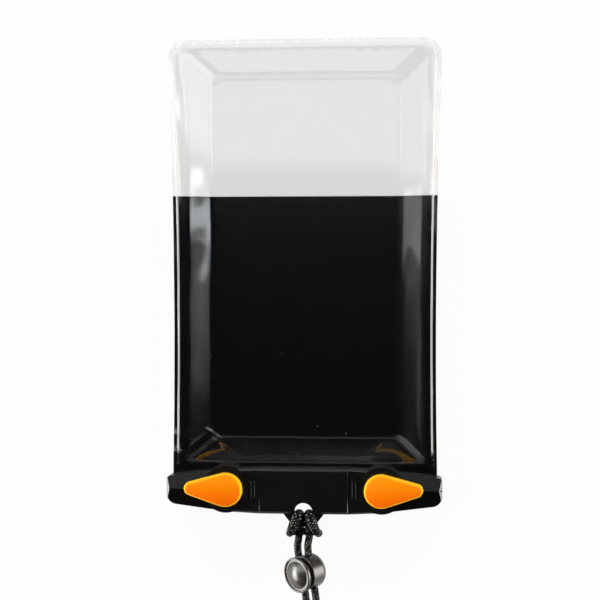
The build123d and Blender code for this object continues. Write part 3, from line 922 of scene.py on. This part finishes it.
black_sheet_finish = plastic_finish("black_sheet_finish", (0.0022, 0.0022, 0.0030), 0.12, 0.18)
clip_finish = plastic_finish("clip_finish", (0.0012, 0.0012, 0.0013), 0.24, 0.33, depth=0.08)
bolt_finish = plastic_finish("bolt_finish", (0.012, 0.012, 0.013), 0.35, 0.5)
lock_finish = plastic_finish("lock_finish", (0.022, 0.019, 0.017), 0.25, 0.31, 0.02, specular=1.0)
steel_finish = plastic_finish("spring_finish", (0.6, 0.6, 0.62), 0.2, 0.3, 0.03, metallic=1.0)
plastics = (black_sheet_finish, clip_finish, bolt_finish, lock_finish, steel_finish)
print("finishes", [finish.name for finish in plastics])

# %% [markdown]
# ## Lever finish
# The levers are orange plastic with light and shade painted on. Their upright rims carry a painted
# yellow highlight, and the side of the top that leans to the pouch's head is painted lighter than the
# other, as if lit from there. The surface's own direction tells these parts apart, in every view.

# %% Lever finish
# Painted shade on the side that leans to the foot, painted light on the side that leans to the head,
# and a painted highlight on the rims.
FOOT_SIDE_PAINTED_SHADE = (1.0, 0.15, 0.0, 1)
HEAD_SIDE_PAINTED_LIGHT = (1.0, 0.31, 0.0, 1)
RIM_PAINTED_HIGHLIGHT = (1.0, 0.52, 0.012, 1)


def lever_painted_light_finish():
    material, tree, output = new_material("lever_finish")
    link = tree.links.new
    shader = add_node(tree, "ShaderNodeBsdfPrincipled")
    shader.inputs["Specular IOR Level"].default_value = 0.10
    grain = use_group(tree, grain_group, Depth=0.05, Low=0.40, High=0.52)
    link(grain.outputs["Roughness"], shader.inputs["Roughness"])
    link(grain.outputs["Normal"], shader.inputs["Normal"])
    place = add_node(tree, "ShaderNodeNewGeometry")
    split = add_node(tree, "ShaderNodeSeparateXYZ")
    link(place.outputs["Normal"], split.inputs[0])
    # Painted highlight: rims that do not face up turn yellow, as if lit strongly from the side.
    rim = ramp_between(tree, split.outputs[2], 0.975, 0.60)
    # Painted light and shade: the top is lighter where it leans to the head and darker where it leans
    # to the foot.
    top = add_node(tree, "ShaderNodeMix", data_type="RGBA")
    top.inputs[6].default_value = FOOT_SIDE_PAINTED_SHADE
    top.inputs[7].default_value = HEAD_SIDE_PAINTED_LIGHT
    link(ramp_between(tree, split.outputs[1], -0.30, 0.30), top.inputs[0])
    colour = add_node(tree, "ShaderNodeMix", data_type="RGBA")
    link(top.outputs[2], colour.inputs[6])
    colour.inputs[7].default_value = RIM_PAINTED_HIGHLIGHT
    link(rim, colour.inputs[0])
    link(colour.outputs[2], shader.inputs["Base Color"])
    link(shader.outputs[0], output.inputs["Surface"])
    return material


lever_finish = lever_painted_light_finish()
print("finish", lever_finish.name)

# %% [markdown]
# ## Braid finish
# The yarn is black and glossy. Many bundles carry a painted highlight, a short light fleck along
# their crown. The painted highlights follow the braid's own map, turn with the yarn that lies on top,
# and differ from bundle to bundle, as a herringbone does.

# %% Braid finish
HIGHLIGHT_LENGTH = 0.46
HIGHLIGHT_WIDTH = 0.25
YARN_COLOUR = (0.0035, 0.0035, 0.0035, 1)
# Colour of the painted highlights.
PAINTED_HIGHLIGHT_COLOUR = (0.42, 0.40, 0.37, 1)


def braid_finish():
    material, tree, output = new_material("braid_finish")
    link = tree.links.new
    shader = add_node(tree, "ShaderNodeBsdfPrincipled", Roughness=0.5)
    shader.inputs["Specular IOR Level"].default_value = 0.12
    place = add_node(tree, "ShaderNodeUVMap", uv_map="braid")
    split = add_node(tree, "ShaderNodeSeparateXYZ")
    link(place.outputs[0], split.inputs[0])
    along, turn = split.outputs[0], split.outputs[1]
    up = maths(tree, "MULTIPLY", maths(tree, "ADD", turn, along), BRAID_BUNDLES)
    down = maths(tree, "MULTIPLY", maths(tree, "SUBTRACT", turn, along), BRAID_BUNDLES)
    cells = [maths(tree, "FLOOR", value) for value in (up, down)]
    offs = [maths(tree, "ABSOLUTE", maths(tree, "SUBTRACT", maths(tree, "FRACT", value), 0.5))
            for value in (up, down)]
    over = maths(tree, "FLOORED_MODULO", maths(tree, "ADD", *cells), 2.0)
    # Painted highlight: a short light fleck on the crown of the bundle that lies on top.
    highlight_masks = []
    for narrow, wide in (offs, offs[::-1]):
        reach = maths(tree, "ADD", maths(tree, "DIVIDE", narrow, HIGHLIGHT_WIDTH),
                      maths(tree, "DIVIDE", wide, HIGHLIGHT_LENGTH))
        highlight_masks.append(ramp_between(tree, reach, 0.35, 1.0, 1.0, 0.0))
    highlight_mask = add_node(tree, "ShaderNodeMix", data_type="FLOAT")
    link(over, highlight_mask.inputs[0])
    link(highlight_masks[0], highlight_mask.inputs[2])
    link(highlight_masks[1], highlight_mask.inputs[3])
    cell = add_node(tree, "ShaderNodeCombineXYZ")
    link(cells[0], cell.inputs[0])
    link(cells[1], cell.inputs[1])
    chance = add_node(tree, "ShaderNodeTexWhiteNoise", noise_dimensions="2D")
    link(cell.outputs[0], chance.inputs["Vector"])
    chosen = ramp_between(tree, chance.outputs["Value"], 0.32, 0.62)
    painted_highlight = maths(tree, "MULTIPLY", highlight_mask.outputs[0], chosen)
    colour = add_node(tree, "ShaderNodeMix", data_type="RGBA")
    colour.inputs[6].default_value = YARN_COLOUR
    colour.inputs[7].default_value = PAINTED_HIGHLIGHT_COLOUR
    link(painted_highlight, colour.inputs[0])
    link(colour.outputs[2], shader.inputs["Base Color"])
    link(shader.outputs[0], output.inputs["Surface"])
    return material


cord_finish = braid_finish()
print("finish", cord_finish.name)

# %% [markdown]
# ## Dressing the pieces
# Each piece gets its finish. The sheets and the cords made here also ride on the body that they
# belong to, and the model's own pieces that they replace are hidden.

# %% Dress the pieces


def dress(piece, finish):
    """Gives a piece one finish."""
    piece.data.materials.clear()
    piece.data.materials.append(finish)


for sheet, finish, node, slot, length in (
    (front_sheet, clear_sheet_finish, "front_sheet", "clear_sheet", TOP_Y - TAIL_Y),
    (black_sheet, black_sheet_finish, "rear_black_sheet", "black_sheet", SPLIT_Y - TAIL_Y),
    (window_sheet, clear_sheet_finish, "rear_window_sheet", "clear_sheet", TOP_Y - SPLIT_Y),
):
    dress(sheet, finish)
    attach(sheet, MAIN_BODY)
    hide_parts(node)

for node, finish in (
    ("clip_front_bar", clip_finish),
    ("clip_rear_bar", clip_finish),
    ("lever_left", lever_finish),
    ("lever_right", lever_finish),
    ("cam_bolt_left", bolt_finish),
    ("cam_bolt_right", bolt_finish),
    ("cord_lock_barrel", lock_finish),
    ("cord_lock_plunger", lock_finish),
    ("cord_lock_spring", steel_finish),
):
    dress(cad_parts[node], finish)

for piece in (cords[-1], cords[1], knot):
    dress(piece, cord_finish)
    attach(piece, MAIN_BODY)
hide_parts("lanyard_left", "lanyard_coil")
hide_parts("lanyard_right")
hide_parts("lanyard_end_knot")
for side in (-1, 1):
    line = cord_paths[side]
    length = sum((b - a).length for a, b in zip(line, line[1:]))
own_pieces = (front_sheet, black_sheet, window_sheet, knot, *cords.values())
print("made here", [piece.name for piece in own_pieces])

# %% [markdown]
# ## Table
# The table is a plain white sweep. Part of its brightness is its own, for what the camera and the
# glossy and clear surfaces see, so that it is white without more light on the pouch, and the rest is
# lit, so that the pouch keeps its shadow.

# %% Table
OWN_SHARE = 0.94
TABLE_RADIUS = 3.0
TABLE_DROP = 0.0002


def add_table():
    bpy.ops.mesh.primitive_circle_add(
        vertices=96, radius=TABLE_RADIUS, fill_type="NGON", location=(0, 0, -TABLE_DROP))
    table = bpy.context.object
    table.name = "table"
    material, tree, output = new_material("table_finish")
    link = tree.links.new
    lit = add_node(tree, "ShaderNodeBsdfDiffuse")
    lit.inputs["Color"].default_value = (0.92, 0.92, 0.92, 1)
    own = add_node(tree, "ShaderNodeEmission", Strength=1.0)
    path = add_node(tree, "ShaderNodeLightPath")
    seen = maths(tree, "MAXIMUM", path.outputs["Is Camera Ray"], path.outputs["Is Glossy Ray"])
    seen = maths(tree, "MAXIMUM", seen, path.outputs["Is Transmission Ray"])
    mix = add_node(tree, "ShaderNodeMixShader")
    link(maths(tree, "MULTIPLY", seen, OWN_SHARE), mix.inputs[0])
    link(lit.outputs[0], mix.inputs[1])
    link(own.outputs[0], mix.inputs[2])
    link(mix.outputs[0], output.inputs["Surface"])
    table.data.materials.append(material)
    return table


print("table", add_table().name)

# %% [markdown]
# ## Light
# Gloss shows the room, so the room is drawn as a sky of soft panels. A direction in it is given by
# its lean to the right in degrees from straight up, and by how far it points to the head of the
# pouch. Straight above it is nearly dark, which keeps the black sheet black. The tall, wide and
# narrow panels stand where the pouch's sloping sides mirror them. Those above brighten the window
# and its slope, low ones light the levers, the lock and the clip's ends, two weak ones show in the
# slopes at the foot, and one beyond the head is the key light.

# %% Sky of soft panels
PANELS = [
    # name, lean low, high and softness in degrees, head-way low, high and softness, strength, colour
    ("left tall", -70, -49, 8, -0.055, 0.90, 0.045, 1.1, (0.95, 0.98, 1.0)),
    ("left narrow, head part", -36, -22, 6, 0.066, 0.60, 0.012, 1.0, (0.97, 0.98, 1.0)),
    ("left tall, by the split", -60, -46, 4, 0.018, 0.050, 0.006, 4.8, (0.93, 0.97, 1.0)),
    ("left wide, head part", -60, -25, 12, 0.072, 0.60, 0.012, 2.1, (1.0, 1.0, 1.0)),
    ("above, head part", -30, 16, 6, 0.072, 0.132, 0.008, 0.85, (1.0, 1.0, 1.0)),
    ("above, head bend", -30, 16, 6, 0.19, 0.50, 0.02, 0.85, (1.0, 1.0, 1.0)),
    ("above, head slope", -30, 16, 6, 0.73, 0.81, 0.02, 1.6, (1.0, 1.0, 1.0)),
    ("right tall", 39, 56, 4, 0.000, 0.054, 0.006, 1.3, (1.0, 1.0, 1.0)),
    ("left low", -93, -68, 4, -0.56, 0.28, 0.06, 11.0, (1.0, 0.96, 0.90)),
    ("right low", 68, 93, 4, -0.38, 0.36, 0.06, 11.0, (1.0, 0.96, 0.90)),
    ("left end", -86, -72, 4, -0.22, -0.07, 0.03, 13.0, (1.0, 1.0, 1.0)),
    ("right end", 62, 76, 4, -0.22, -0.07, 0.03, 14.0, (1.0, 1.0, 1.0)),
    ("left foot", -60, -36, 3, -0.78, -0.50, 0.03, 0.5, (1.0, 0.78, 0.70)),
    ("right foot", 38, 58, 3, -0.78, -0.50, 0.03, 0.4, (1.0, 0.66, 0.58)),
]
# head-way low and high, place across from left to right, strength
KEY = (0.885, 0.935, -0.30, 0.30, 15.0)
ZENITH = 0.008
HORIZON = 0.12


def add_sky():
    world = bpy.data.worlds.new("studio")
    bpy.context.scene.world = world
    world.use_nodes = True
    tree = world.node_tree
    tree.nodes.clear()
    link = tree.links.new
    place = add_node(tree, "ShaderNodeTexCoord")
    split = add_node(tree, "ShaderNodeSeparateXYZ")
    link(place.outputs["Generated"], split.inputs[0])
    right, head, high = split.outputs
    lean = maths(tree, "MULTIPLY", maths(tree, "ARCTAN2", right, high), math.degrees(1))
    total = add_node(tree, "ShaderNodeCombineXYZ").outputs[0]

    def add_light(mask, colour):
        nonlocal total
        tint = add_node(tree, "ShaderNodeVectorMath", operation="SCALE")
        tint.inputs[0].default_value = colour
        link(mask, tint.inputs["Scale"])
        joined = add_node(tree, "ShaderNodeVectorMath", operation="ADD")
        link(total, joined.inputs[0])
        link(tint.outputs[0], joined.inputs[1])
        total = joined.outputs[0]

    for name, low, high_end, soft, foot, top, along_soft, strength, colour in PANELS:
        across = band(tree, lean, low, high_end, soft)
        along = band(tree, head, foot, top, along_soft)
        add_light(maths(tree, "MULTIPLY", maths(tree, "MULTIPLY", across, along), strength), colour)
    foot, top, left, right_end, strength = KEY
    along, across = band(tree, head, foot, top, 0.015), band(tree, right, left, right_end, 0.05)
    key = maths(tree, "MULTIPLY", along, across)
    above = ramp_between(tree, high, 0.0, 0.1)
    add_light(maths(tree, "MULTIPLY", maths(tree, "MULTIPLY", key, above), strength), (1, 1, 1))
    add_light(ramp_between(tree, high, 0.25, 0.0, ZENITH, HORIZON), (1, 1, 1))
    sky = add_node(tree, "ShaderNodeBackground", Strength=1.0)
    link(total, sky.inputs["Color"])
    output = tree.nodes.new("ShaderNodeOutputWorld")
    link(sky.outputs[0], output.inputs["Surface"])


add_sky()
bpy.context.scene.view_settings.view_transform = "Standard"
print("panels", [panel[0] for panel in PANELS])
